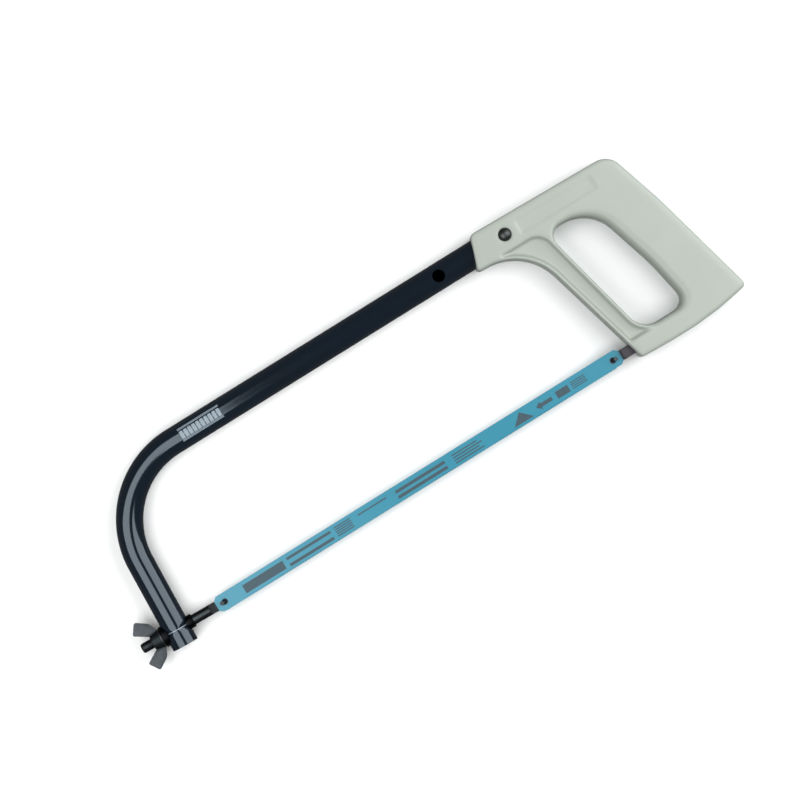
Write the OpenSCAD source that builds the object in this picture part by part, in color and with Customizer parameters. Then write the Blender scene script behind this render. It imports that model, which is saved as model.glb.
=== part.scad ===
// Hacksaw with a telescoping tubular frame, lying flat on its side.
// X runs along the blade towards the handle, Y from the blade up to the frame tube,
// and Z is the saw's thickness. Each part is drawn about the middle plane, with the
// front blade hole at the origin, and place() then stands the saw on its lower face.

/* [Blade] */
// Distance between the two pin holes
blade_length = 300; // [250:1:360]
// Height of the blade, tooth tips to back
blade_width = 11.7; // [10:0.1:16]
// Thickness of the blade
blade_thickness = 0.65; // [0.5:0.05:0.9]
// Diameter of the pin holes
blade_hole_d = 4.2; // [3.9:0.1:5]
// From a pin hole to the blade's end
blade_end = 6.3; // [5:0.1:9]
// Teeth in one inch
teeth_per_inch = 24; // [14:1:32]
// Depth of the teeth
tooth_depth = 0.6; // [0.3:0.05:0.9]

/* [Frame tube] */
// Outside diameter of the tube
tube_d = 18; // [15:0.1:22]
// Wall of the tube
tube_wall = 1.5; // [1:0.1:2]
// From the blade's line to the tube's centre line
tube_height = 107.4; // [85:0.1:135]
// Centre line radius of the front bend
bend_radius = 60; // [45:1:70]
// Lean of the front leg, its foot forwards
leg_lean = 3.1; // [0:0.1:5]
// From the front hole to the leg's centre line, on the blade's line
leg_x = 36.4; // [33:0.1:45]
// From the blade's line to the leg's cut end
leg_foot = 10.5; // [9:0.1:20]
// From the rear blade hole forwards to the locking hole in use
lock_x = 17.4; // [12:0.1:22]
// Distance between the locking holes, which is one blade size
lock_step = 50.8; // [40:0.1:50.8]
// Length of the tube behind that hole
tube_tail = 18; // [12:0.5:25]

/* [Handle] */
// Metal over the tube, on the handle's flat sides
socket_wall = 2.7; // [2:0.1:5]
// Metal over the tube, along the handle's top edge
socket_top_wall = 2.9; // [2:0.1:6]
// Round of the outer edges, along the top and the foot
edge_round = 2.4; // [1:0.1:2.8]
// Round of the finger opening's edges, on the side of the grip
grip_round = 5.2; // [1:0.1:5.5]
// Depth of the scooped channel in the guard
channel_depth = 3.6; // [1:0.1:6]
// Rim between the channel and the guard's front edge
front_rim = 2; // [1.5:0.1:4]
// Rim between the channel and the finger opening
opening_rim = 2.4; // [2:0.1:5]
// Depth of the blank panels beside the button
panel_depth = 0.5; // [0.2:0.1:1]
// Socket left for the tube beyond its shortest setting
socket_spare = 3.2; // [2:0.1:5]

/* [Lock button] */
// Diameter of the button
button_d = 8; // [6.5:0.1:9.6]
// How far its dome stands over the handle
button_proud = 1.5; // [0.8:0.1:2.5]
// Height of its dome
button_dome = 2; // [1.5:0.1:3]
// Width of the strip spring
spring_width = 8; // [6:0.1:9]
// Thickness of the strip spring
spring_thickness = 1; // [0.6:0.1:1.2]
// Diameter of the rivet that holds the spring
rivet_d = 3; // [2:0.1:3.5]

/* [Blade holders] */
// Side of the square rear holder
holder_side = 7; // [6:0.1:8]
// Length of the rear holder inside the handle
holder_grip = 26; // [20:0.5:30]
// Diameter of the roll pin that keeps it there
roll_pin_d = 3; // [2.5:0.1:3.5]
// Diameter of the tension stud
stud_d = 7; // [6:0.1:8.5]
// How far the tension stud comes out of the wing nut
stud_tail = 8.1; // [5:0.1:14]
// Tilt of the stud, its free end towards the tube
stud_tilt = 1.8; // [0:0.1:3]
// Length of the flat under the blade
flat_length = 11.2; // [8:0.1:15]
// Diameter of the pins that the blade hooks on
pin_d = 2.8; // [2.4:0.1:2.8]
// Lean of the pins, away from the blade
pin_lean = 20; // [5:1:20]
// Height of the pins over the blade
pin_height = 3.6; // [2:0.1:5]

/* [Wing nut] */
// Wall of the hub where it meets the washer
hub_wall = 2.65; // [2:0.05:4]
// Length of the hub
hub_length = 6.4; // [5:0.1:9]
// Span of the wings, tip to tip
wing_span = 35.4; // [30:0.1:45]
// Thickness of the wings
wing_thickness = 2.6; // [1.5:0.1:4]
// Thickness of the thrust washer
washer_thickness = 1; // [0.8:0.1:2]
// How far the saddle reaches out past the hub
saddle_rim = 1; // [0.4:0.1:2]
// Thickness of the saddle at its thinnest
saddle_thickness = 1.6; // [1:0.1:3]
// Wall of the collar on the blade side
collar_wall = 1.05; // [0.8:0.05:2]
// How far the collar stands out from the tube
collar_length = 3.2; // [2:0.1:5]

/* [Fits] */
// Radial clearance of a sliding or turning fit
slide_fit = 0.05; // [0.02:0.01:0.1]
// Gap between pieces that rest on each other
seat_gap = 0.05; // [0.02:0.01:0.1]
// Radial clearance round the lock button in the tube
lock_fit = 0.2; // [0.15:0.05:0.4]
// Radial clearance round the lock button in the handle
button_fit = 0.3; // [0.2:0.05:0.5]
// Gap between a blade pin and the side of its hole
pin_gap = 0.04; // [0.02:0.01:0.1]
// Clearance of the loose holes and sockets
loose_fit = 0.35; // [0.3:0.05:0.5]

/* [Hidden] */
$fn = 96;

inch = 25.4;
cut = 1;            // how far a cutter runs past the face that it opens
// The leg stops a hairline short of the bend and a slightly thinner core runs through
// both, because two round surfaces that only touch along a circle don't fuse cleanly
hairline = 0.01;
lap = 1;
core_step = 0.2;
corner_step = 9;    // degrees between the points of a rounded corner
round_steps = 3;    // flats that make up a rounded edge
least_radius = 0.4; // tightest corner that an inset outline keeps
channel_steps = 3;  // steps down each side of the channel
channel_slope = 0.5; // width of each of those steps
edge_shift = 0.6;   // the outer round is wider towards +X, on the grip, by this share
grip_shift = 0.38;  // and so is the finger opening's

// Thickness of the handle, from the tube inside it
socket_r = tube_d / 2 + slide_fit;
half_thick = socket_r + socket_wall;
tube_bore_r = tube_d / 2 - tube_wall;

// Heights of the handle's upper edges
socket_top = tube_height + tube_d / 2 + socket_top_wall;
socket_under = tube_height - tube_d / 2 - socket_top_wall;

// Places along the tube: the locking holes, its rear end and the end of the socket
lock_hole_d = button_d + 2 * lock_fit;
button_x = blade_length - lock_x;
tube_end = button_x + lock_hole_d / 2 + tube_tail;
socket_end = tube_end + lock_step + socket_spare;

// The strip spring lies in the tube, and its tail in a slot behind the socket
spring_z = 2;
spring_tail = 8;
rivet_reach = 2.6;  // how far the rivet goes on past the spring's middle
rivet_sunk = 0.2;   // its head lies just under the handle's face
rivet_head = 1.5;
spring_anchor = socket_end + spring_tail / 2;
slot_width = spring_width + 2 * seat_gap;
slot_height = spring_thickness + 2 * seat_gap;
spring_nose = button_x - button_d / 2 - 1;
button_top = half_thick + button_proud;
button_base = spring_z + spring_thickness / 2;

// The blade lies on the flats of the stud and the holder
flat_z = -blade_thickness / 2 - seat_gap;
pin_reach = pin_d / 2 / cos(pin_lean) + blade_thickness / 2 * tan(pin_lean);
pin_offset = blade_hole_d / 2 - pin_reach - pin_gap;
pin_floor = 0.8;    // metal left under a pin

// Places along the stud, counted from the front hole towards the free end
leg_front = leg_x + tube_d / 2;
leg_back = leg_x - tube_d / 2;
bore_d = stud_d + 2 * slide_fit;
hub_d = bore_d + 2 * hub_wall;
saddle_d = hub_d + 2 * saddle_rim;
collar_d = bore_d + 2 * collar_wall;
washer_at = leg_front + saddle_thickness + seat_gap;
hub_at = washer_at + washer_thickness + seat_gap;
stud_length = hub_at + hub_length + stud_tail;

// Corners of the handle, as x from the rear hole, y, and radius. guard_x and face_x give
// the sloping front edges of the guard and of the socket
guard_foot = 14.5;
guard_head = -10.235;
guard_slope = (guard_foot - guard_head) / socket_under;
guard_hollow = 38;
guard_angle = atan(guard_slope);
roll_pin_x = guard_foot + holder_grip / 2;
function guard_x(y) = guard_foot - guard_slope * y;
face_lean = 0.36;
socket_face = -41.3;
function face_x(y) = socket_face + face_lean * (y - tube_height);
top_rear = socket_top - 2.7;

handle_corners = [
    [16.9, -8.1, 1.5],
    [66, -10.2, 230],
    [99.8, -3.4, 3],
    [80.6, 0.64 * top_rear, 200],
    [67.7, top_rear, 13],
    [face_x(socket_top), socket_top, 4],
    [face_x(socket_under), socket_under, 2.2],
    [guard_x(socket_under), socket_under, guard_hollow]
];

// Corners of the finger opening. Its lower front corner is an arc about toe_centre
opening_top = socket_under - 1.6;
opening_foot = 6.7;
toe_round = 15;
opening_slope = 20 / (opening_top - opening_foot);
toe_angle = atan(opening_slope);
toe_centre = [26.4 - opening_slope * toe_round + toe_round / cos(toe_angle), opening_foot + toe_round];
opening_corners = [
    [26.4, opening_foot, toe_round],
    [61.4, opening_foot, 8],
    [55.3, 0.43 * opening_top, 120],
    [39.4, opening_top, 27],
    [6.4, opening_top, 8]
];

// The guard's channel, bounded by its two rims, the socket and the foot. Its front boundary
// runs beside the guard's front edge and then follows the hollow under the socket. Its rear
// boundary runs beside the finger opening and round its toe.
function opening_x(y) = 26.4 - opening_slope * (y - opening_foot);
channel_top = socket_under + 1.4;
channel_foot = 4.6;
hollow_centre = [guard_x(socket_under - guard_hollow) - guard_hollow / cos(guard_angle),
    socket_under - guard_hollow];
channel_corners = [
    [guard_x(channel_foot) + front_rim, channel_foot, 1],
    [opening_x(channel_foot) - opening_rim, channel_foot, 1],
    [opening_x(channel_top) - opening_rim, channel_top, 12],
    [-60, channel_top, 1],
    [guard_x(hollow_centre[1]) + front_rim, hollow_centre[1], 1]
];

grip_width = 1 - grip_shift;

// Middle of the whole saw, which place() brings to the origin
saw_left = -stud_length - 1.3;
saw_right = blade_length + 99;
saw_bottom = stud_length * sin(stud_tilt) - wing_span / 2;

// ---- Outlines with rounded corners ----

function unit(v) = v / norm(v);
function flat(c) = [c[0], c[1]];
function cross2(u, v) = u[0] * v[1] - u[1] * v[0];
function before(list, i) = list[(i + len(list) - 1) % len(list)];
function after(list, i) = list[(i + 1) % len(list)];
function turned(v, angle) = [
    v[0] * cos(angle) - v[1] * sin(angle),
    v[0] * sin(angle) + v[1] * cos(angle)];

// Directions of the edges into and out of corner i, and the turn between them
function edge_in(list, i) = unit(flat(list[i]) - flat(before(list, i)));
function edge_out(list, i) = unit(flat(after(list, i)) - flat(list[i]));
function turn(list, i) = let (u = edge_in(list, i), v = edge_out(list, i)) atan2(cross2(u, v), u * v);

// Moves every edge of a counter-clockwise outline inwards by d
function inset_corner(list, i, d) =
    let (u = edge_in(list, i), v = edge_out(list, i), shift = d / (1 + u * v))
    [list[i][0] - (u[1] + v[1]) * shift, list[i][1] + (u[0] + v[0]) * shift,
        max(least_radius, list[i][2] - d * sign(turn(list, i)))];
function inset(list, d) = [for (i = [0:len(list) - 1]) inset_corner(list, i, d)];

// The arc that rounds corner i
function corner_arc(list, i) =
    let (angle = turn(list, i), u = edge_in(list, i), r = list[i][2],
        start = flat(list[i]) - u * r * tan(abs(angle) / 2),
        spoke = [u[1], -u[0]] * r * sign(angle),
        steps = ceil(abs(angle) / corner_step) + 1)
    [for (k = [0:steps]) start - spoke + turned(spoke, angle * k / steps)];
function rounded(list) = [for (i = [0:len(list) - 1]) each corner_arc(list, i)];

// A ring of the outline inset by d at height z, which drifts along X by its share of d
function ring_at(corners, d, z, share) = [for (p = rounded(inset(corners, d))) [p[0] - share * d, p[1], z]];

// A solid through inset copies of one outline, at levels of [z, inset]
module loft(corners, levels, share) {
    rings = [for (level = levels) ring_at(corners, level[1], level[0], share)];
    n = len(rings[0]);
    last = len(rings) - 1;
    sides = [for (k = [0:last - 1]) for (i = [0:n - 1])
        let (j = (i + 1) % n) [k * n + i, (k + 1) * n + i, (k + 1) * n + j, k * n + j]];
    floor_face = [for (i = [0:n - 1]) i];
    roof_face = [for (i = [0:n - 1]) last * n + n - 1 - i];
    polyhedron(points = [for (ring = rings) each ring], faces = concat([floor_face], sides, [roof_face]));
}

// A quarter round of radius r, as points of [distance in from the edge, distance below the face]
function quarter(r) = [for (k = [0:round_steps])
    let (a = 90 * k / round_steps)
    [r - r * cos(a), r - r * sin(a)]];

// Cuts the round along a slab's upper outer edge: a profile swept round the outline
module edge_cutter(corners, half, r, share) {
    profile = concat(
        [for (q = quarter(r)) [q[0], half - q[1]]],
        [[r, half + cut], [-cut, half + cut], [-cut, half - r]]);
    rings = [for (q = profile) ring_at(corners, q[0], q[1], share)];
    n = len(rings[0]);
    m = len(rings);
    polyhedron(
        points = [for (ring = rings) each ring],
        faces = [for (k = [0:m - 1]) for (i = [0:n - 1])
            let (k2 = (k + 1) % m, j = (i + 1) % n) [k * n + i, k * n + j, k2 * n + j, k2 * n + i]]);
}

// Levels of a through opening that flares by a quarter round at both faces. width is the
// flare's share of r that the inset gives, and the drift along X adds the rest
function hole_levels(half, r, width) =
    let (up = [for (q = quarter(r)) [half - q[1], -width * q[0]]], last = len(up) - 1)
    concat(
        [[-half - cut, -width * r]],
        [for (k = [last:-1:0]) [-up[k][0], up[k][1]]],
        up,
        [[half + cut, -width * r]]);

// ---- Placing ----

module place() {
    translate([-(saw_left + saw_right) / 2, -(saw_bottom + socket_top) / 2, half_thick])
        children();
}

module both_sides() {
    for (side = [0, 1])
        mirror([0, 0, side])
            at_rear()
                children();
}

module at_rear() {
    translate([blade_length, 0, 0])
        children();
}

// Along the stud: +Z of the children runs from the front hole to the free end
module on_stud(distance = 0) {
    rotate([0, 0, -stud_tilt])
        translate([-distance, 0, 0])
            rotate([0, -90, 0])
                children();
}

// A rod between two points on one line along X
module rod_x(x0, x1, r) {
    translate([x0, 0, 0])
        rotate([0, 90, 0])
            cylinder(h = x1 - x0, r = r);
}

// ---- Handle ----

module handle() {
    color("#bcc5bb")
        difference() {
            at_rear()
                translate([0, 0, -half_thick])
                    linear_extrude(2 * half_thick)
                        polygon(rounded(handle_corners));
            at_rear()
                loft(opening_corners, hole_levels(half_thick, grip_round, grip_width),
                    grip_shift / grip_width);
            both_sides() {
                edge_cutter(handle_corners, half_thick, edge_round, edge_shift);
                handle_recesses();
            }
            tube_socket();
            holder_socket();
        }
}

// Outline of the channel, inset by d
function channel_outline(d) =
    let (list = inset(channel_corners, d), r = guard_hollow + front_rim + d,
        tip = asin((channel_top - d - hollow_centre[1]) / r),
        toe_r = toe_round + opening_rim + d,
        toe_tip = 180 + asin((toe_centre[1] - channel_foot - d) / toe_r))
    concat(
        corner_arc(list, 0),
        [for (k = [0:8])
            let (a = toe_tip + (180 + toe_angle - toe_tip) * k / 8)
            toe_centre + toe_r * [cos(a), sin(a)]],
        corner_arc(list, 2),
        [for (k = [0:8])
            let (a = tip + (guard_angle - tip) * k / 8)
            hollow_centre + r * [cos(a), sin(a)]]);

// Three steps stand for the channel's sloping sides
module handle_recesses() {
    for (k = [1:channel_steps])
        translate([0, 0, half_thick - channel_depth * k / channel_steps])
            linear_extrude(channel_depth + cut)
                polygon(channel_outline(channel_slope * (k - 1)));
    translate([0, 0, half_thick - panel_depth])
        linear_extrude(panel_depth + cut)
            polygon(rounded(panel_corners));
}

// Blank panel beside the button, in line with the tube
panel_corners = [
    [-8, tube_height - 5.6, 1],
    [49.6, tube_height - 6.2, 1],
    [49.6, tube_height + 3.8, 1],
    [-8, tube_height + 4.4, 1]
];

module tube_socket() {
    translate([0, tube_height, 0]) {
        rod_x(button_x - tube_height, socket_end, socket_r);
        translate([button_x, 0, 0])
            cylinder(h = half_thick + cut, d = button_d + 2 * button_fit);
        translate([socket_end - cut, -slot_width / 2, spring_z - slot_height / 2])
            cube([spring_tail + 2 * cut, slot_width, slot_height]);
        translate([spring_anchor, 0, -half_thick - cut]) {
            cylinder(h = half_thick + cut + spring_z + rivet_reach + 0.4, d = rivet_d + 2 * seat_gap);
            cylinder(h = cut + rivet_sunk + rivet_head + seat_gap, d = 2 * rivet_d + 2 * seat_gap);
        }
    }
}

module holder_socket() {
    side = holder_side + 2 * loose_fit;
    at_rear() {
        translate([0, -side / 2, -side / 2])
            cube([guard_foot + holder_grip + loose_fit, side, side]);
        translate([roll_pin_x, 0, -half_thick - cut])
            cylinder(h = half_thick + cut + holder_side / 2 + 2, d = roll_pin_d + 2 * seat_gap);
    }
}

// ---- Frame tube ----

module tube_path(r, past) {
    bend = 90 - leg_lean;
    top = tube_height - bend_radius;
    bend_x = -leg_x + (tube_height * sin(leg_lean) + bend_radius * (1 - sin(leg_lean))) / cos(leg_lean);
    translate([0, tube_height, 0])
        rod_x(bend_x, tube_end + past, r);
    translate([bend_x, top, 0])
        rotate_extrude(angle = bend, start = 90)
            translate([bend_radius, 0])
                circle(r);
    translate([bend_x, top, 0])
        rotate([0, 0, 180 - leg_lean])
            translate([bend_radius, 0, 0])
                rotate([-90, 0, 0]) {
                    translate([0, 0, hairline])
                        cylinder(h = leg_run(bend_x, top) + past - hairline, r = r);
                    translate([0, 0, -lap])
                        cylinder(h = 2 * lap, r = r - core_step);
                }
}

// Length of the straight leg, from the bend to the foot
function leg_run(bend_x, top) = (top + bend_radius * sin(leg_lean) + leg_foot) / cos(leg_lean);

module frame_tube() {
    color("#16233a")
        difference() {
            tube_path(tube_d / 2, 0);
            tube_path(tube_bore_r, cut);
            for (x = [button_x, button_x - lock_step]) translate([x, tube_height, 0])
                cylinder(h = tube_d, d = lock_hole_d);
            on_stud(leg_back - 3) cylinder(h = tube_d + 6, d = stud_d + 2 * loose_fit);
        }
}

// ---- Lock button and its spring ----

module lock_button() {
    sphere_r = (pow(button_d / 2, 2) + pow(button_dome, 2)) / (2 * button_dome);
    color("#4a4b4c")
        translate([button_x, tube_height, 0]) {
            translate([0, 0, button_base])
                cylinder(h = button_top - button_dome - button_base, d = button_d);
            intersection() {
                translate([0, 0, button_top - sphere_r]) sphere(sphere_r);
                translate([0, 0, button_top - button_dome]) cylinder(h = button_dome + cut, d = button_d);
            }
        }
}

module lock_spring() {
    color("#7d7f80")
        translate([0, tube_height, spring_z])
            difference() {
                translate([spring_nose, -spring_width / 2, -spring_thickness / 2])
                    cube([socket_end + spring_tail - spring_nose, spring_width, spring_thickness]);
                translate([spring_anchor, 0, -cut])
                    cylinder(h = 2 * cut, d = rivet_d + 2 * seat_gap);
            }
}

module spring_rivet() {
    color("#8e9092")
        translate([spring_anchor, tube_height, -half_thick + rivet_sunk]) {
            cylinder(h = half_thick - rivet_sunk + spring_z + rivet_reach, d = rivet_d);
            cylinder(h = rivet_head, d = 2 * rivet_d);
        }
}

// ---- Rear holder ----

module rear_holder() {
    color("#6f6d72")
        at_rear()
            difference() {
                translate([-holder_side + 1, -holder_side / 2, -holder_side / 2])
                    cube([holder_side - 1 + guard_foot + holder_grip, holder_side, holder_side]);
                translate([-holder_side, -holder_side, flat_z])
                    cube([holder_side + blade_end + 1.2, 2 * holder_side, holder_side]);
                translate([roll_pin_x, 0, -holder_side])
                    cylinder(h = 2 * holder_side, d = roll_pin_d + 2 * seat_gap);
                pin_hole();
            }
}

// Pins lean away from the blade: the rear one towards +X
module leaning(from, to, d) {
    translate([pin_offset, 0, 0])
        rotate([0, pin_lean, 0])
            translate([0, 0, from])
                cylinder(h = to - from, d = d);
}

module pin_hole() {
    leaning(-holder_side, holder_side, pin_d + 2 * seat_gap);
}

// A pin that stands in a bar of that thickness, without coming through its back
module blade_pin(support) {
    base = (-support / 2 + pin_floor) / cos(pin_lean);
    color("#55585a")
        leaning(base, (blade_thickness / 2 + pin_height) / cos(pin_lean), pin_d);
}

module rear_pin() {
    at_rear() blade_pin(holder_side);
}

module holder_pin() {
    roll_length = half_thick + holder_side / 2 + 1.2;
    color("#8e9092")
        at_rear()
            translate([roll_pin_x, 0, -half_thick + 0.5])
                difference() {
                    cylinder(h = roll_length, d = roll_pin_d);
                    translate([0, 0, -cut]) cylinder(h = roll_length + 2 * cut, d = 0.55 * roll_pin_d);
                    translate([0, -0.25, -cut]) cube([roll_pin_d, 0.5, roll_length + 2 * cut]);
                }
}

// ---- Tension stud and the pieces on it ----

module tension_stud() {
    color("#303234")
        difference() {
            union() {
                on_stud(0) cylinder(h = stud_length - 1, d = stud_d);
                on_stud(stud_length - 1) cylinder(h = 1, d1 = stud_d, d2 = stud_d - 1.6);
                rotate([0, 0, -stud_tilt]) cylinder(h = stud_d, d = stud_d, center = true);
            }
            rotate([0, 0, -stud_tilt])
                translate([-flat_length, -stud_d, flat_z])
                    cube([flat_length + stud_d, 2 * stud_d, stud_d]);
            rotate([0, 0, -stud_tilt])
                translate([-flat_length - cut, -stud_d, -2 * stud_d - stud_d / 2 + 0.4])
                    cube([flat_length + stud_d + cut, 2 * stud_d, 2 * stud_d]);
            front_lean() pin_hole();
        }
}

module front_lean() {
    rotate([0, 0, -stud_tilt])
        mirror([1, 0, 0])
            children();
}

module front_pin() {
    front_lean() blade_pin(stud_d);
}

// The tube's leg as a solid bar, to shape what seats on it
module leg_bar() {
    translate([-leg_x, 0, 0])
        rotate([0, 0, -leg_lean])
            rotate([90, 0, 0])
                cylinder(h = 3 * tube_d, r = tube_d / 2 + seat_gap, center = true);
}

module stud_guide() {
    color("#1d1f21")
        difference() {
            on_stud(leg_back - collar_length) cylinder(h = collar_length + 2, d = collar_d);
            on_stud(leg_back - collar_length - cut) cylinder(h = collar_length + 5, d = bore_d);
            leg_bar();
        }
}

module nut_saddle() {
    color("#1d1f21")
        difference() {
            on_stud(leg_front - 3) cylinder(h = 3 + saddle_thickness, d = saddle_d);
            on_stud(leg_front - 4) cylinder(h = 5 + saddle_thickness, d = bore_d);
            leg_bar();
        }
}

module thrust_washer() {
    color("#3b3d3f")
        difference() {
            on_stud(washer_at) cylinder(h = washer_thickness, d = hub_d + 0.6);
            on_stud(washer_at - cut) cylinder(h = washer_thickness + 2 * cut, d = bore_d);
        }
}

// Outline of one wing, as distance along the stud and distance from its axis
wing_corners = [
    [hub_at + 0.2, stud_d / 2 + 1.2, 0.4],
    [hub_at + hub_length, stud_d / 2 + 1.2, 0.4],
    [stud_length + 1.3, wing_span / 2 - 7.3, 1.2],
    [stud_length - 3.5, wing_span / 2, 1.2],
    [hub_at + 3, wing_span / 2 - 5.2, 6],
    [hub_at + 0.2, hub_d / 2 - 0.2, 1]
];

module wing_nut() {
    color("#5e6265")
        difference() {
            union() {
                on_stud(hub_at) cylinder(h = hub_length, d1 = hub_d, d2 = hub_d - 2.4);
                for (side = [0, 1]) rotate([0, 0, -stud_tilt]) mirror([0, side, 0]) mirror([1, 0, 0])
                    translate([0, 0, -wing_thickness / 2])
                        linear_extrude(wing_thickness) polygon(rounded(wing_corners));
            }
            on_stud(hub_at - cut) cylinder(h = hub_length + 2 * cut + 5, d = bore_d);
        }
}

// ---- Blade ----

tooth_pitch = inch / teeth_per_inch;
tooth_count = floor(blade_length / tooth_pitch);
blade_back = blade_width / 2;
end_corner = 2.4;   // corners cut off the blade's ends

// Each tooth has an upright front and a sloping back, and cuts on the push stroke
first_tooth = (blade_length - tooth_count * tooth_pitch) / 2;
function tooth(i) =
    let (x = first_tooth + i * tooth_pitch)
    [[x, -blade_back],
        [x + tooth_pitch * 0.12, -blade_back],
        [x + tooth_pitch, -blade_back + tooth_depth]];

module blade() {
    color("#4f9fb8")
        difference() {
            translate([0, 0, -blade_thickness / 2])
                linear_extrude(blade_thickness)
                    polygon(concat(
                        [[-blade_end, -blade_back + end_corner],
                            [-blade_end + end_corner, -blade_back + tooth_depth]],
                        [for (i = [0:tooth_count - 1]) each tooth(i)],
                        [[blade_length + blade_end - end_corner, -blade_back + tooth_depth],
                            [blade_length + blade_end, -blade_back + end_corner],
                            [blade_length + blade_end, blade_back - end_corner],
                            [blade_length + blade_end - end_corner, blade_back],
                            [-blade_end + end_corner, blade_back],
                            [-blade_end, blade_back - end_corner]]));
            for (x = [0, blade_length]) translate([x, 0, 0])
                cylinder(h = 4, d = blade_hole_d, center = true);
        }
}

place() handle();
place() frame_tube();
place() lock_button();
place() lock_spring();
place() spring_rivet();
place() rear_holder();
place() rear_pin();
place() holder_pin();
place() tension_stud();
place() front_pin();
place() stud_guide();
place() nut_saddle();
place() thrust_washer();
place() wing_nut();
place() blade();
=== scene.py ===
# %% [markdown]
# # A hacksaw with a tubular frame
# The saw lies on its side on a pale bench top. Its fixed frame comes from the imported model: every solid
# is already at its place, in metres. This lesson puts a finer, finished piece over each of those solids,
# gives it its real finish, and then lights the saw. Work in this order when you restyle a model that
# already exists: measure first, then shape, then finish, then light.

# %% Load the fixed frame
from math import asin, atan2, cos, pi, radians, sin, sqrt, tan

import bmesh
import bpy
from mathutils import Matrix, Vector


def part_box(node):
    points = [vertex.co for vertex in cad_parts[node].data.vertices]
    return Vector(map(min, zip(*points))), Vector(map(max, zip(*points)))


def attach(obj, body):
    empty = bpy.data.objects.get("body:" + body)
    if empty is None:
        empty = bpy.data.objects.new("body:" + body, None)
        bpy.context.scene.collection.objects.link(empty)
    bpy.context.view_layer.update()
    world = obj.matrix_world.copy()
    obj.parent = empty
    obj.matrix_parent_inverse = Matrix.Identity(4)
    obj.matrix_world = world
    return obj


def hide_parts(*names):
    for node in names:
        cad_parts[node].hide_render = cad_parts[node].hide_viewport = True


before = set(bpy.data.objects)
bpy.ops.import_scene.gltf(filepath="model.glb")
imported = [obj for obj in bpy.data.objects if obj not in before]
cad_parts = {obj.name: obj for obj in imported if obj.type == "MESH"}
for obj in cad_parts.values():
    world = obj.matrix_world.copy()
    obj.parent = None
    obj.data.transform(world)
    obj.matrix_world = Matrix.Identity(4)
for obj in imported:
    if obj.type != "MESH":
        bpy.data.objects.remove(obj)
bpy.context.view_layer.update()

print("solids:", sorted(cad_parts))

# %% [markdown]
# ## The saw's own coordinates
# A saw is drawn from its blade: the front pin hole is the origin, X runs along the blade to the handle,
# Y from the blade up to the frame tube, and Z is the thickness. The blade's solid gives that origin,
# because it reaches equally far beyond both of its holes. at() turns millimetres in those coordinates
# into a point of the model.

# %% Find the origin and the main heights
MM = 0.001
BLADE_LENGTH = 300.0
low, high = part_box("blade")
middle = (low + high) / 2
origin = middle - Vector((BLADE_LENGTH / 2 * MM, 0, 0))


def at(x, y, z=0.0):
    return origin + Vector((x, y, z)) * MM


def centre_mm(node):
    """Middle of a solid's box, in the saw's millimetres."""
    lo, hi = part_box(node)
    return ((lo + hi) / 2 - origin) / MM


tube_y = centre_mm("lock_button").y
button_x = centre_mm("lock_button").x
blade_back = (high - low).y / 2 / MM
blade_face = (high - low).z / 2 / MM
print(f"tube at y {tube_y:.1f}, button at x {button_x:.1f}, blade {2 * blade_back:.1f} mm high")

# %% [markdown]
# ## Small helpers
# A bmesh is a mesh in Blender's workshop: operators act on it, and at the end it becomes an object.
# loose_object() does that last step and points the faces outwards. piece() also shades them smooth up to a
# crease, and says which body the piece rides on and which solid it stands for.

# %% Make an object from a bmesh
def loose_object(name, bm):
    mesh = bpy.data.meshes.new(name)
    bmesh.ops.recalc_face_normals(bm, faces=bm.faces)
    bm.to_mesh(mesh)
    bm.free()
    obj = bpy.data.objects.new(name, mesh)
    bpy.context.scene.collection.objects.link(obj)
    return obj


def piece(name, bm, body, finish, slot, *nodes, crease=35.0):
    obj = loose_object(name, bm)
    dress(obj, finish, crease)
    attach(obj, body)
    if nodes:
        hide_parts(*nodes)
    print(f"{name}: {len(obj.data.polygons)} faces, rides on {body}")


def dress(obj, finish, crease=35.0):
    """One finish all over, smooth shading, and a crease where faces meet at a sharper angle."""
    obj.data.materials.clear()
    obj.data.materials.append(finish)
    for face in obj.data.polygons:
        face.use_smooth = True
    obj.data.set_sharp_from_angle(angle=radians(crease))


# %% [markdown]
# Real edges are never perfectly sharp: a cutter or a tumbling drum leaves a small round that catches the
# light. softened() copies a solid, merges its loose triangles, dissolves the ones that lie flat, and bevels
# every edge sharper than 30 degrees.

# %% Copy a solid and soften its edges
def merged_copy(node):
    bm = bmesh.new()
    bm.from_mesh(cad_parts[node].data)
    bmesh.ops.remove_doubles(bm, verts=bm.verts, dist=0.002 * MM)
    return bm


def softened(node, width_mm, segments=2, sharper_than=30.0):
    bm = merged_copy(node)
    bmesh.ops.dissolve_limit(bm, angle_limit=radians(0.3), verts=bm.verts, edges=bm.edges)
    sharp = [e for e in bm.edges if e.is_manifold and e.calc_face_angle() > radians(sharper_than)]
    bmesh.ops.bevel(bm, geom=sharp, offset=width_mm * MM, offset_type="OFFSET", segments=segments,
                    profile=0.5, affect="EDGES", clamp_overlap=True, material=-1)
    return bm


# %% [markdown]
# Drilled holes and cut threads are taken out with a Boolean modifier, as a drill takes them out of the
# bar. The result is kept as the piece's mesh, so that no modifier stays on it.

# %% Apply modifiers and Boolean cuts to a bmesh
def applied(obj, others=()):
    """The mesh that obj's modifiers make, as a bmesh. obj and the others are removed."""
    bpy.context.view_layer.update()
    depsgraph = bpy.context.evaluated_depsgraph_get()
    result = bmesh.new()
    result.from_object(obj, depsgraph)
    for used in (obj, *others):
        bpy.data.objects.remove(used)
    return result


def carved(bm, *cutters):
    obj = loose_object("blank", bm)
    tools = [loose_object("cutter", c) for c in cutters]
    for tool in tools:
        cut = obj.modifiers.new("cut", "BOOLEAN")
        cut.object = tool
        cut.operation = "DIFFERENCE"
        cut.solver = "MANIFOLD"
    return applied(obj, tools)


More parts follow.
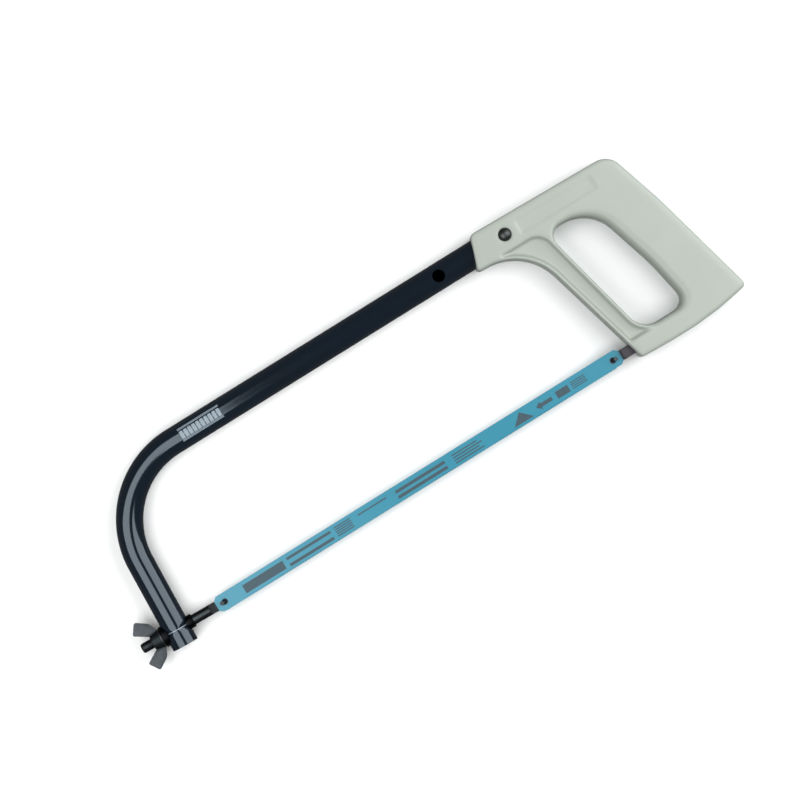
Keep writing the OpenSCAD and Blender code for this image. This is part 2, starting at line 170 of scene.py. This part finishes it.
def rod(start, end, radius_mm, segments=64):
    """A straight closed bar between two points, for cutting with."""
    bm = bmesh.new()
    line = end - start
    bmesh.ops.create_cone(bm, cap_ends=True, segments=segments, radius1=radius_mm * MM,
                          radius2=radius_mm * MM, depth=line.length)
    turn = line.to_track_quat("Z", "Y").to_matrix()
    bmesh.ops.rotate(bm, verts=bm.verts, cent=(0, 0, 0), matrix=turn)
    bmesh.ops.translate(bm, verts=bm.verts, vec=(start + end) / 2)
    return bm


# %% [markdown]
# ## Finishes
# A finish starts from what the surface really is. add() places one shader node with its settings and
# links, and srgb() turns a paint chart's hex colour into the linear values that the shader wants.
# Every pattern reads Object coordinates, and its scale comes from a real size in millimetres.

# %% Shader helpers
def srgb(code):
    values = [int(code[i:i + 2], 16) / 255 for i in (1, 3, 5)]
    return tuple(v / 12.92 if v <= 0.04045 else ((v + 0.055) / 1.055) ** 2.4 for v in values) + (1.0,)


def add(tree, kind, settings=None, inputs=None):
    node = tree.nodes.new(kind)
    for key, value in (settings or {}).items():
        setattr(node, key, value)
    for key, value in (inputs or {}).items():
        if isinstance(value, bpy.types.NodeSocket):
            tree.links.new(value, node.inputs[key])
        else:
            node.inputs[key].default_value = value
    return node


def per_mm(size_mm):
    """Noise scale that gives one blotch for each size_mm."""
    return 1.0 / (size_mm * MM)


# %% [markdown]
# Most finishes here share one build: two close colours mixed by a broad, soft noise, a roughness that
# wanders a little with it, and a fine grain that lifts the surface. What changes is the size of the grain
# and whether it is round, as in paint, or drawn out in one direction, as a grinding belt leaves it.

# %% Build one finish
def surface(name, tint, shade, metallic, roughness, blotch_mm, grain_mm, grain_depth_mm,
            wander=0.05, drawn=(1.0, 1.0, 1.0), coat=0.0, coat_roughness=0.1, ior=1.5, glint="#ffffff"):
    finish = bpy.data.materials.new(name)
    finish.use_nodes = True
    tree = finish.node_tree
    tree.nodes.clear()
    place = add(tree, "ShaderNodeTexCoord")
    broad = add(tree, "ShaderNodeTexNoise", None,
                {"Vector": place.outputs["Object"], "Scale": per_mm(blotch_mm), "Detail": 3.0})
    colour = add(tree, "ShaderNodeMix", {"data_type": "RGBA"},
                 {"Factor": broad.outputs["Fac"], "A": srgb(tint), "B": srgb(shade)})
    stretched = add(tree, "ShaderNodeMapping", None,
                    {"Vector": place.outputs["Object"], "Scale": drawn})
    grain = add(tree, "ShaderNodeTexNoise", None,
                {"Vector": stretched.outputs["Vector"], "Scale": per_mm(grain_mm), "Detail": 2.0})
    uneven = add(tree, "ShaderNodeMapRange", None,
                 {"Value": grain.outputs["Fac"], "From Min": 0.3, "From Max": 0.7,
                  "To Min": roughness - wander, "To Max": roughness + wander})
    relief = add(tree, "ShaderNodeBump", None,
                 {"Height": grain.outputs["Fac"], "Strength": 1.0, "Distance": grain_depth_mm * MM})
    body = add(tree, "ShaderNodeBsdfPrincipled", None,
               {"Base Color": colour.outputs[2], "Metallic": metallic,
                "Roughness": uneven.outputs["Result"], "Normal": relief.outputs["Normal"],
                "Coat Weight": coat, "Coat Roughness": coat_roughness,
                "IOR": ior, "Specular Tint": srgb(glint)})
    add(tree, "ShaderNodeOutputMaterial", None, {"Surface": body.outputs["BSDF"]})
    return finish


# %% [markdown]
# The handle is taken as a die casting under one sprayed coat of stoving enamel: a satin, pale
# grey-green with a faint orange peel about a millimetre across. The tube has a darker, glossier
# enamel over cold-drawn steel, so its grain is finer and runs along the tube.

# %% Paints
casting_paint = surface("stoved_satin_enamel_grey_green", "#9ba29b", "#959c94", 0.0, 0.42,
                        22.0, 1.1, 0.010, wander=0.04, coat=0.12, coat_roughness=0.25)
tube_enamel = surface("gloss_enamel_midnight_blue", "#050c14", "#07131f", 0.0, 0.11,
                      30.0, 0.9, 0.0012, wander=0.02, drawn=(0.3, 1.0, 1.0), ior=1.66, glint="#d6e6f2")
blade_paint = surface("blade_lacquer_cyan", "#268096", "#227990", 0.0, 0.36,
                      16.0, 0.7, 0.004, wander=0.05, coat=0.1, coat_roughness=0.2)
print_ink = surface("screen_ink_dark_blue_grey", "#304a55", "#283f49", 0.0, 0.55, 3.0, 0.4, 0.002)
label_ink = surface("screen_ink_pale_grey", "#8a98a2", "#76858f", 0.0, 0.5, 2.5, 0.4, 0.002)

# %% [markdown]
# The small parts are bare or blackened steel. Blackening is a thin oxide: dark, a little brown, and
# still metallic underneath. The pressed wing nut keeps a tumbled, greyer face, and the square holder the
# lines of the grinding belt across it.

# %% Metals
button_steel = surface("turned_steel_oiled", "#575959", "#323434", 1.0, 0.42, 2.6, 0.35, 0.010,
                       drawn=(1.0, 0.12, 1.0))
spring_steel = surface("tempered_spring_steel", "#5b5f66", "#4b4a4c", 1.0, 0.36, 6.0, 0.3, 0.003,
                       drawn=(0.1, 1.0, 1.0))
rivet_steel = surface("soft_rivet_steel", "#8d8f90", "#77797b", 1.0, 0.42, 2.5, 0.4, 0.006)
pin_steel = surface("hardened_pin_steel", "#4c4e51", "#3b3d40", 1.0, 0.5, 2.0, 0.3, 0.003)
holder_steel = surface("ground_bar_steel_dark", "#545256", "#3c3a3e", 1.0, 0.46, 3.5, 0.3, 0.010,
                       drawn=(1.0, 0.15, 1.0))
stud_black = surface("black_oxide_turned_steel", "#3c4143", "#262a2c", 1.0, 0.36, 5.0, 0.35, 0.006,
                     drawn=(1.0, 0.2, 0.2))
seat_black = surface("black_oxide_pressed_steel", "#17181a", "#0f1011", 1.0, 0.42, 3.0, 0.4, 0.006)
washer_steel = surface("zinc_plated_washer_dulled", "#505355", "#3c3f41", 1.0, 0.4, 2.5, 0.3, 0.004)
nut_black = surface("phosphated_pressed_steel", "#4b4f53", "#383c3f", 1.0, 0.52, 4.0, 0.45, 0.014)
print("finishes:", len(bpy.data.materials))

# %% [markdown]
# ## The handle
# The casting is one piece: a socket for the tube, a grip, a scooped guard and a foot for the blade
# holder. Its edges flow into each other, which is slow to model edge by edge. Here the solid is remeshed
# as voxels of 0.72 mm, so that it is one even skin, and the skin is then relaxed: each pass moves a point
# half way to the middle of its neighbours. That turns the steps of the channel into a scoop and rounds the
# corners as a mould's draft and fillets do.

# %% Cast the handle
VOXEL_MM = 0.72
RELAX_PASSES = 6
skin = loose_object("casting", merged_copy("handle"))
voxels = skin.modifiers.new("voxels", "REMESH")
voxels.mode = "VOXEL"
voxels.voxel_size = VOXEL_MM * MM
casting = applied(skin)
for _ in range(RELAX_PASSES):
    bmesh.ops.smooth_vert(casting, verts=casting.verts, factor=0.5,
                          use_axis_x=True, use_axis_y=True, use_axis_z=True)

# %% [markdown]
# Relaxing also moves the wall of the socket a little, so the socket is reamed round again. The tube then
# slides in it without touching.

# %% Ream the socket
LOCK_STEP = 50.8
SOCKET_R = 9.2
SOCKET_SPARE = 3.3
REAMER_RUN = 60
REAMER_SIDES = 96
tube_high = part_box("frame_tube")[1]
tube_end = (tube_high.x - origin.x) / MM
socket_end = tube_end + LOCK_STEP + SOCKET_SPARE
reamer = rod(at(button_x - REAMER_RUN, tube_y), at(socket_end, tube_y), SOCKET_R, REAMER_SIDES)
casting = carved(casting, reamer)
print("handle:", len(casting.faces), "faces")
piece("handle_casting", casting, "handle", casting_paint, "casting_paint", "handle", crease=70.0)

# %% [markdown]
# ## The frame tube
# The tube starts as two circles, its outer and inner wall. Extruding their edges draws the straight run,
# a spin draws the bend, and a second extrusion the leg. Bridging the circles joins the two walls.
# Known fault: the bridge pairs the circles half a turn out. The end faces cross over the bore, so both
# ends look closed, the inner wall faces the wrong way, and the locking holes stop at the tube's middle.

# %% Sizes of the tube
TUBE_R = 9.0
BORE_R = 7.5
BEND_R = 60.0
LEAN = radians(3.1)
LEG_X = -36.4
LEG_FOOT = 10.5
STUD_TILT = radians(1.8)
bend_y = tube_y - BEND_R
bend_x = LEG_X + (tube_y * sin(LEAN) + BEND_R * (1 - sin(LEAN))) / cos(LEAN)
leg_down = Vector((-sin(LEAN), -cos(LEAN), 0))
leg_across = Vector((-cos(LEAN), sin(LEAN), 0))
leg_run = (bend_y + BEND_R * sin(LEAN) + LEG_FOOT) / cos(LEAN)
print(f"tube from x {bend_x:.1f} to {tube_end:.1f}, leg {leg_run:.1f} mm")


# %% Draw the tube
def drawn_out(bm, edges, step, count):
    """Extrudes the edges count times by one step, and returns the last edges."""
    for _ in range(count):
        made = bmesh.ops.extrude_edge_only(bm, edges=edges)["geom"]
        points = [v for v in made if isinstance(v, bmesh.types.BMVert)]
        edges = [e for e in made if isinstance(e, bmesh.types.BMEdge) and set(e.verts) <= set(points)]
        bmesh.ops.translate(bm, verts=points, vec=step)
    return edges


TUBE_SIDES = 72
STRAIGHT_STEPS = 130
BEND_STEPS = 48
LEG_STEPS = 150
tube = bmesh.new()
for radius in (TUBE_R, BORE_R):
    bmesh.ops.create_circle(tube, segments=TUBE_SIDES, radius=radius * MM)
bmesh.ops.rotate(tube, verts=tube.verts, cent=(0, 0, 0), matrix=Matrix.Rotation(pi / 2, 3, "Y"))
bmesh.ops.translate(tube, verts=tube.verts, vec=at(tube_end, tube_y))
first = tube.edges[:]
straight = (bend_x - tube_end) / STRAIGHT_STEPS
ring = drawn_out(tube, first, Vector((straight * MM, 0, 0)), STRAIGHT_STEPS)
ring_points = list(dict.fromkeys(v for e in ring for v in e.verts))
turned = bmesh.ops.spin(tube, geom=ring_points + ring, cent=at(bend_x, bend_y),
                        axis=(0, 0, 1), dvec=(0, 0, 0), angle=pi / 2 - LEAN, steps=BEND_STEPS,
                        use_merge=False)
ring = [e for e in turned["geom_last"] if isinstance(e, bmesh.types.BMEdge)]
last = drawn_out(tube, ring, leg_down * (leg_run / LEG_STEPS) * MM, LEG_STEPS)
bmesh.ops.bridge_loops(tube, edges=last)
bmesh.ops.bridge_loops(tube, edges=first)
bmesh.ops.remove_doubles(tube, verts=tube.verts, dist=0.01 * MM)
bmesh.ops.recalc_face_normals(tube, faces=tube.faces)
print("tube:", len(tube.faces), "faces")

# %% [markdown]
# Where the stud passes through, a shallow groove runs across the leg. It is a fine line in the middle and
# widens to a dent towards both sides. The points of the outer wall are
# pushed inwards there, as far as the groove is deep at their place.

# %% Press the groove at the stud
stud_on_leg = at(LEG_X, -LEG_X * tan(STUD_TILT))
GROOVE_MM, GROOVE_CURVE = 1.25, 1.3     # depth at the sides, and how fast it is reached
MIDDLE_HALF, SIDE_HALF = 0.7, 3.3       # half widths: in the middle, and how much more at the sides
LINE_MM, LINE_HALF = 0.12, 0.6
REACH_MM = 5
for v in tube.verts:
    offset = (v.co - stud_on_leg) / MM
    along = offset.dot(leg_down)
    across = offset.dot(leg_across)
    if abs(along) > REACH_MM or abs(across) > TUBE_R + 0.1:
        continue
    radial = sqrt(across ** 2 + offset.z ** 2)
    if radial < (TUBE_R + BORE_R) / 2:
        continue
    side = abs(across) / TUBE_R
    dent = GROOVE_MM * side ** GROOVE_CURVE * max(0.0, 1 - abs(along) / (MIDDLE_HALF + SIDE_HALF * side))
    line = LINE_MM * max(0.0, 1 - abs(along) / LINE_HALF)
    v.co -= (leg_across * across + Vector((0, 0, offset.z))) / radial * (dent + line) * MM


# %% [markdown]
# A bright line runs along the middle of the groove. It is a painted highlight: a paler colour mixed into
# the enamel close to a plane across the leg. The function below measures each point's distance from the
# plane and mixes that colour in over a short, soft step; the same step paints shade on the wing nut.

# %% Painted highlight and painted shade: a band of another colour near a plane
def painted_light_zone(finish, point, normal, full_mm, none_mm, tint):
    tree = finish.node_tree
    body = next(n for n in tree.nodes if n.type == "BSDF_PRINCIPLED")
    before = body.inputs["Base Color"].links[0].from_socket
    place = add(tree, "ShaderNodeTexCoord")
    shifted = add(tree, "ShaderNodeVectorMath", {"operation": "SUBTRACT"},
                  {0: place.outputs["Object"], 1: tuple(point)})
    height = add(tree, "ShaderNodeVectorMath", {"operation": "DOT_PRODUCT"},
                 {0: shifted.outputs["Vector"], 1: tuple(normal)})
    distance = add(tree, "ShaderNodeMath", {"operation": "ABSOLUTE"}, {0: height.outputs["Value"]})
    inside = add(tree, "ShaderNodeMapRange", {"interpolation_type": "SMOOTHSTEP"},
                 {"Value": distance.outputs["Value"], "From Min": full_mm * MM, "From Max": none_mm * MM,
                  "To Min": 1.0, "To Max": 0.0})
    mixed = add(tree, "ShaderNodeMix", {"data_type": "RGBA"},
                {"Factor": inside.outputs["Result"], "A": before, "B": srgb(tint)})
    tree.links.new(mixed.outputs[2], body.inputs["Base Color"])


# Painted highlight: a pale grey line in the enamel along the groove's middle, standing in for its
# reflection.
painted_light_zone(tube_enamel, stud_on_leg, leg_down, 0.18, 0.42, "#7f8a93")

# %% [markdown]
# The two locking holes and the stud's hole are drilled last.

# %% Drill the tube
LOCK_HOLE_R = 4.2
STUD_HOLE_R = 3.85
DRILL_TOP = 12
HALF_DRILL = 0.014  # metres
stud_out = Vector((-cos(STUD_TILT), sin(STUD_TILT), 0))
drills = [rod(at(x, tube_y), at(x, tube_y, DRILL_TOP), LOCK_HOLE_R)
          for x in (button_x, button_x - LOCK_STEP)]
drills.append(rod(stud_on_leg - stud_out * HALF_DRILL, stud_on_leg + stud_out * HALF_DRILL, STUD_HOLE_R))
tube = carved(tube, *drills)
piece("frame_tube_drawn", tube, "frame", tube_enamel, "tube_enamel", "frame_tube", crease=40.0)

# %% [markdown]
# ## Printing
# Screen ink stands about 0.02 mm proud of what it is printed on. Each mark is a small grid, laid over the
# blade's flat side or over the tube's round one, and extruded to that thickness. The marks are plain bars,
# a triangle and an arrow: they only carry the look of a printed tool.

# %% Print marks on a surface
INK_MM = 0.02


def blade_top(y):
    return blade_face


def tube_top(y):
    return sqrt(TUBE_R ** 2 - (y - tube_y) ** 2)


def printed(bm, outline, top, rows=1):
    """One mark: the outline is a list of four corners (x, y), with its rows running along X."""
    made = bmesh.ops.create_grid(bm, x_segments=1, y_segments=rows, size=0.5)["verts"]
    a, b, c, d = (Vector(p) for p in outline)
    for v in made:
        u, w = v.co.x + 0.5, v.co.y + 0.5
        spot = (a * (1 - u) + b * u) * (1 - w) + (d * (1 - u) + c * u) * w
        v.co = at(spot.x, spot.y, top(spot.y) + INK_MM)
    faces = list(dict.fromkeys(f for v in made for f in v.link_faces))
    sides = bmesh.ops.extrude_face_region(bm, geom=faces)["geom"]
    moved = [v for v in sides if isinstance(v, bmesh.types.BMVert)]
    bmesh.ops.translate(bm, verts=moved, vec=(0, 0, -2 * INK_MM * MM))


def bar(x0, x1, y0, y1):
    return [(x0, y0), (x1, y0), (x1, y1), (x0, y1)]


marks = bmesh.new()
blade_bars = [bar(15, 46, -3.0, 3.0), bar(49, 83, 1.4, 3.2), bar(49, 83, -3.4, -1.4)]
blade_bars += [bar(86, 98.5, -3.2 + 1.5 * i, -2.4 + 1.5 * i) for i in range(5)]
blade_bars += [bar(104, 126, 1.6, 2.6)]
blade_bars += [bar(133, 171, 0.7, 2.8), bar(133, 171, -3.2, -1.1)]
blade_bars += [bar(177, 199 - 3 * (i % 2), -3.4 + 1.9 * i, -2.5 + 1.9 * i) for i in range(4)]
blade_bars += [[(222, -3.6), (237, -3.6), (229.7, 3.6), (229.3, 3.6)]]
blade_bars += [[(241, -0.2), (244.5, -2.8), (244.5, 2.8), (241, 0.2)], bar(244.5, 253, -1.3, 1.3)]
blade_bars += [bar(256.5, 266, -2.5, 2.5)]
blade_bars += [bar(268, 279, -2.2 + 1.4 * i, -1.5 + 1.4 * i) for i in range(4)]
for outline in blade_bars:
    printed(marks, outline, blade_top)
piece("blade_print", marks, "blade", print_ink, "blade_paint")

label = bmesh.new()
label_bars = [bar(33.6 + 3.1 * i, 35.9 + 3.1 * i, tube_y - 2.5, tube_y + 2.9) for i in range(10)]
label_bars += [bar(33.2, 64.4, tube_y + 0.05, tube_y + 0.35)]
for side in (-1, 1):
    label_bars += [bar(33.2, 64.4, tube_y + 0.2 + side * (3.6 + 0.75 * i),
                       tube_y + 0.2 + side * (3.6 + 0.75 * i) + 0.45) for i in range(2)]
for outline in label_bars:
    printed(label, outline, tube_top, rows=16)
piece("tube_label_print", label, "frame", label_ink, "tube_enamel")

# %% [markdown]
# ## The blade
# The blade is punched from strip, and its fine teeth are set in a wave: a few lean left, the next few
# right, so that the cut is wider than the blade. A bisect just above the gullets keeps that wave in the
# toothed edge, and the points below the cut are then moved sideways by a sine.

# %% Set the teeth
WAVE_MM = 8.5
SET_MM = 0.16
CUT_UP, SET_UP = 1.3, 0.9   # heights above the tooth tips: of the bisect, and of the set
strip = merged_copy("blade")
bmesh.ops.dissolve_limit(strip, angle_limit=radians(0.3), verts=strip.verts, edges=strip.edges)
bmesh.ops.bisect_plane(strip, geom=strip.verts[:] + strip.edges[:] + strip.faces[:],
                       plane_co=at(0, -blade_back + CUT_UP), plane_no=(0, 1, 0))
bmesh.ops.triangulate(strip, faces=[f for f in strip.faces if len(f.verts) > 4])
for v in strip.verts:
    x, y, z = (v.co - origin) / MM
    if y < -blade_back + SET_UP:
        depth = (-blade_back + SET_UP - y) / SET_UP
        v.co.z += SET_MM * depth * sin(2 * pi * x / WAVE_MM) * MM
piece("blade_strip", strip, "blade", blade_paint, "blade_paint", "blade")

# %% [markdown]
# ## The tension stud
# The stud is turned from round bar, threaded on one end and milled flat at the other. The thread is cut
# with one tool: a sleeve whose inner wall is the zigzag of the thread, made by spinning that profile round
# the stud. A real thread climbs by 1 mm each turn, and at this size rings can't be told from it.

# %% Cut the thread
STUD_R = 3.5
THREAD_FROM, THREAD_TO, PITCH = 44.0, 63.2, 1.0
THREAD_DEPTH = 0.4
SLEEVE_MM, CLEAR_MM = 2, 0.05   # the cutting sleeve's wall, and its clearance over a crest


def on_stud(distance, radius):
    return origin + stud_out * distance * MM + Vector((0, 0, radius * MM))


die = bmesh.new()
count = int((THREAD_TO - THREAD_FROM) / PITCH)
profile = [(THREAD_FROM, STUD_R + SLEEVE_MM), (THREAD_FROM, STUD_R + CLEAR_MM)]
for i in range(count):
    start = THREAD_FROM + i * PITCH
    profile += [(start + 0.12, STUD_R + CLEAR_MM), (start + 0.5 * PITCH, STUD_R - THREAD_DEPTH),
                (start + 0.6 * PITCH, STUD_R - THREAD_DEPTH), (start + PITCH, STUD_R + CLEAR_MM)]
profile += [(THREAD_FROM + count * PITCH, STUD_R + SLEEVE_MM)]
points = [die.verts.new(on_stud(*p)) for p in profile]
loop = [die.edges.new((a, b)) for a, b in zip(points, points[1:] + points[:1])]
bmesh.ops.spin(die, geom=points + loop, cent=origin, axis=stud_out, dvec=(0, 0, 0),
               angle=2 * pi, steps=48, use_merge=True)
bmesh.ops.remove_doubles(die, verts=die.verts, dist=0.001 * MM)
stud = carved(softened("tension_stud", 0.3), die)
piece("stud_threaded", stud, "stud", stud_black, "stud_black", "tension_stud", crease=25.0)

# %% [markdown]
# ## The button
# A turned button with a low dome. Its profile is half of a section, spun once round.

# %% Turn the lock button
button_low, button_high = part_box("lock_button")
BUTTON_R = (button_high - button_low).x / 2 / MM
base_z, top_z = (button_low.z - origin.z) / MM, (button_high.z - origin.z) / MM
DOME = 2.0
DOME_STEPS = 8
turned_button = bmesh.new()
dome_r = (BUTTON_R ** 2 + DOME ** 2) / (2 * DOME)
section = [(0, base_z), (BUTTON_R - 0.3, base_z), (BUTTON_R, base_z + 0.3),
           (BUTTON_R, top_z - DOME - 0.1)]
edge = asin((BUTTON_R - 0.25) / dome_r)
for i in range(DOME_STEPS, -1, -1):
    angle = edge * i / DOME_STEPS
    section.append((dome_r * sin(angle), top_z - dome_r + dome_r * cos(angle)))
points = [turned_button.verts.new(at(button_x + r, tube_y, z)) for r, z in section]
line = [turned_button.edges.new(pair) for pair in zip(points, points[1:])]
bmesh.ops.spin(turned_button, geom=points + line, cent=at(button_x, tube_y), axis=(0, 0, 1),
               dvec=(0, 0, 0), angle=2 * pi, steps=64, use_merge=True)
bmesh.ops.remove_doubles(turned_button, verts=turned_button.verts, dist=0.002 * MM)
piece("button_turned", turned_button, "button", button_steel, "button_steel", "lock_button")

# %% [markdown]
# ## The other metal parts
# The nut, the seats, the holders and the pins are already the right shape. They only need the small
# rounds of a pressing or a turning, so each is a softened copy of its solid. The nut's finish is darker
# in a band along the stud's axis: painted shade over the hub, which holds down its reflection of the lights.

# %% Soften the small parts
stud_side = Vector((sin(STUD_TILT), cos(STUD_TILT), 0))
# Painted shade: the hub's colour darkened near the stud's axis, standing in for shade on the hub.
painted_light_zone(nut_black, origin, stud_side, 5.6, 7.2, "#2a2f31")

small_parts = [
    ("nut_winged", "wing_nut", "nut", nut_black, "nut_black", 0.55, 3),
    ("saddle_seat", "nut_saddle", "frame", seat_black, "seat_black", 0.3, 2),
    ("collar_guide", "stud_guide", "frame", seat_black, "seat_black", 0.35, 2),
    ("washer_flat", "thrust_washer", "frame", washer_steel, "washer_steel", 0.2, 2),
    ("holder_square", "rear_holder", "handle", holder_steel, "holder_steel", 0.3, 2),
    ("pin_rear", "rear_pin", "handle", pin_steel, "pin_steel", 0.35, 3),
    ("pin_front", "front_pin", "stud", pin_steel, "pin_steel", 0.35, 3),
    ("roll_pin", "holder_pin", "handle", rivet_steel, "rivet_steel", 0.12, 1),
    ("rivet_headed", "spring_rivet", "handle", rivet_steel, "rivet_steel", 0.25, 2),
    ("spring_strip", "lock_spring", "handle", spring_steel, "spring_steel", 0.15, 1),
]
for name, node, body, finish, slot, width, segments in small_parts:
    piece(name, softened(node, width, segments), body, finish, slot, node)

# %% [markdown]
# ## The studio
# The saw lies on a pale bench top under two large softboxes, one over the front of the saw and one beyond
# the handle. Round metal shows the lights as bands: the wide gap between the boxes is what keeps the long
# straight tube dark, and the leg with its two bright bands shows both boxes.

# %% Floor and lights
floor_mesh = bmesh.new()
bmesh.ops.create_grid(floor_mesh, x_segments=1, y_segments=1, size=6.0)
floor = loose_object("bench_top", floor_mesh)
bench = surface("matt_white_laminate", "#f2f3f3", "#eef0f0", 0.0, 0.85, 400.0, 3.0, 0.002)
dress(floor, bench)
floor.visible_glossy = False


SOFTBOX_DEPTH = 1.1


def softbox(name, x0, z0, x1, z1, glow):
    """A box whose face runs from one edge to the other, both as x and z, in metres. glow is watts per m2."""
    data = bpy.data.lights.new(name, "AREA")
    data.shape = "RECTANGLE"
    data.size = sqrt((x1 - x0) ** 2 + (z1 - z0) ** 2)
    data.size_y = SOFTBOX_DEPTH
    data.energy = glow * data.size * data.size_y
    box = bpy.data.objects.new(name, data)
    box.location = ((x0 + x1) / 2, 0, (z0 + z1) / 2)
    box.rotation_euler = (0, atan2(z0 - z1, x1 - x0), 0)
    box.visible_camera = False
    bpy.context.scene.collection.objects.link(box)


softbox("softbox_front", -1.3, 0.9, -0.165, 0.9, 11.5)
softbox("softbox_handle", 0.3, 1.1, 1.9, 0.12, 11.0)

world = bpy.data.worlds.new("studio")
world.use_nodes = True
world.node_tree.nodes["Background"].inputs["Color"].default_value = srgb("#ffffff")
world.node_tree.nodes["Background"].inputs["Strength"].default_value = 0.16
bpy.context.scene.world = world
bpy.context.scene.view_settings.view_transform = "Standard"

# %% [markdown]
# ## The camera
# The camera looks straight down, far enough away that the saw shows almost no perspective. It is turned
# so that the blade climbs from the lower left to the upper right of the picture.

# %% Camera
LENS_MM = 100.0
SENSOR_MM = 36.0
VIEW_WIDTH = 0.5258
BLADE_CLIMB = 31.85
camera_data = bpy.data.cameras.new("camera")
camera_data.lens = LENS_MM
camera_data.sensor_width = SENSOR_MM
camera = bpy.data.objects.new("camera", camera_data)
camera.location = (0, 0, origin.z + VIEW_WIDTH * LENS_MM / SENSOR_MM)
camera.rotation_euler = (0, 0, radians(-BLADE_CLIMB))
bpy.context.scene.collection.objects.link(camera)
bpy.context.scene.camera = camera

# %% Finish
print("scene ready")
